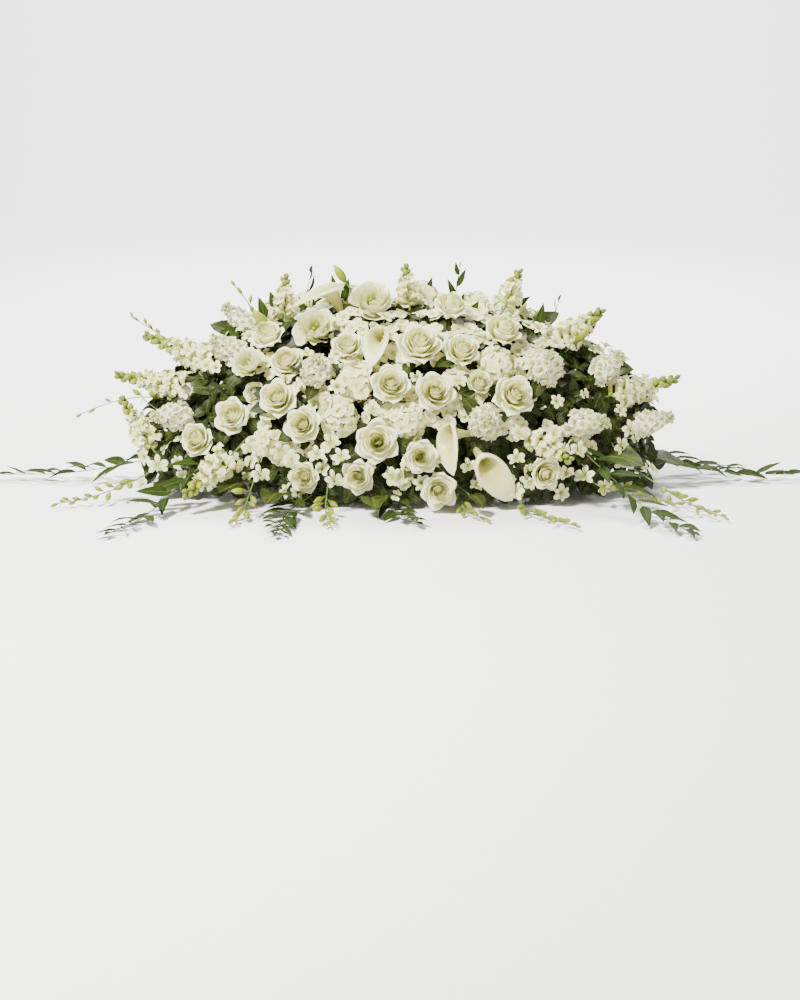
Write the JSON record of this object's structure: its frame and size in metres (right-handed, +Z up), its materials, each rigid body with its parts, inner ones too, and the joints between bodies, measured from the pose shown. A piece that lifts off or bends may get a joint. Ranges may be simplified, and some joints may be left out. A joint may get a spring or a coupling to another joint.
{
  "type": "casket spray",
  "caption": "Low oval mound of white blooms with trailing leafy strands, its stems set in a foam block on a four-legged plastic saddle.",
  "frame": {"origin": "on the surface that the feet stand on, under the middle of the saddle", "axes": "+X along the casket to the right as seen by the mourners, -Y towards the mourners, +Z up"},
  "size_m": [1.8662, 1.1632, 0.512],
  "materials": {
    "rose_petal": "satin",
    "lisianthus_petal": "satin",
    "calla": "satin",
    "hydrangea": "matte",
    "stock_petal": "matte",
    "snapdragon": "satin",
    "orchid": "satin",
    "greenery": "satin",
    "foam": "matte",
    "saddle": "satin"
  },
  "bodies": {
    "root": {"rose_01": "rose_petal", "rose_02": "rose_petal", "rose_03": "rose_petal", "rose_04": "rose_petal", "rose_05": "rose_petal", "rose_06": "rose_petal", "rose_07": "rose_petal", "rose_08": "rose_petal", "rose_09": "rose_petal", "rose_10": "rose_petal", "rose_11": "rose_petal", "rose_12": "rose_petal", "rose_13": "rose_petal", "rose_14": "rose_petal", "rose_15": "rose_petal", "rose_16": "rose_petal", "rose_17": "rose_petal", "rose_18": "rose_petal", "rose_19": "rose_petal", "rose_20": "rose_petal", "rose_21": "rose_petal", "rose_22": "rose_petal", "rose_23": "rose_petal", "rose_24": "rose_petal", "rose_25": "rose_petal", "rose_26": "rose_petal", "rose_27": "rose_petal", "rose_28": "rose_petal", "rose_29": "rose_petal", "rose_30": "rose_petal", "lisianthus_01": "lisianthus_petal", "lisianthus_02": "lisianthus_petal", "lisianthus_03": "lisianthus_petal", "lisianthus_04": "lisianthus_petal", "stock_01": "stock_petal", "stock_02": "stock_petal", "stock_03": "stock_petal", "stock_04": "stock_petal", "stock_05": "stock_petal", "stock_06": "stock_petal", "stock_07": "stock_petal", "stock_08": "stock_petal", "stock_09": "stock_petal", "stock_10": "stock_petal", "stock_11": "stock_petal", "stock_12": "stock_petal", "stock_13": "stock_petal", "callas": "calla", "hydrangeas": "hydrangea", "snapdragons_left": "snapdragon", "snapdragons_top": "snapdragon", "snapdragons_right": "snapdragon", "orchids_left": "orchid", "orchids_right": "orchid", "greenery_left": "greenery", "greenery_front": "greenery", "greenery_right": "greenery", "greenery_back": "greenery", "foam_block": "foam", "saddle": "saddle"}
  },
  "joints": []
}
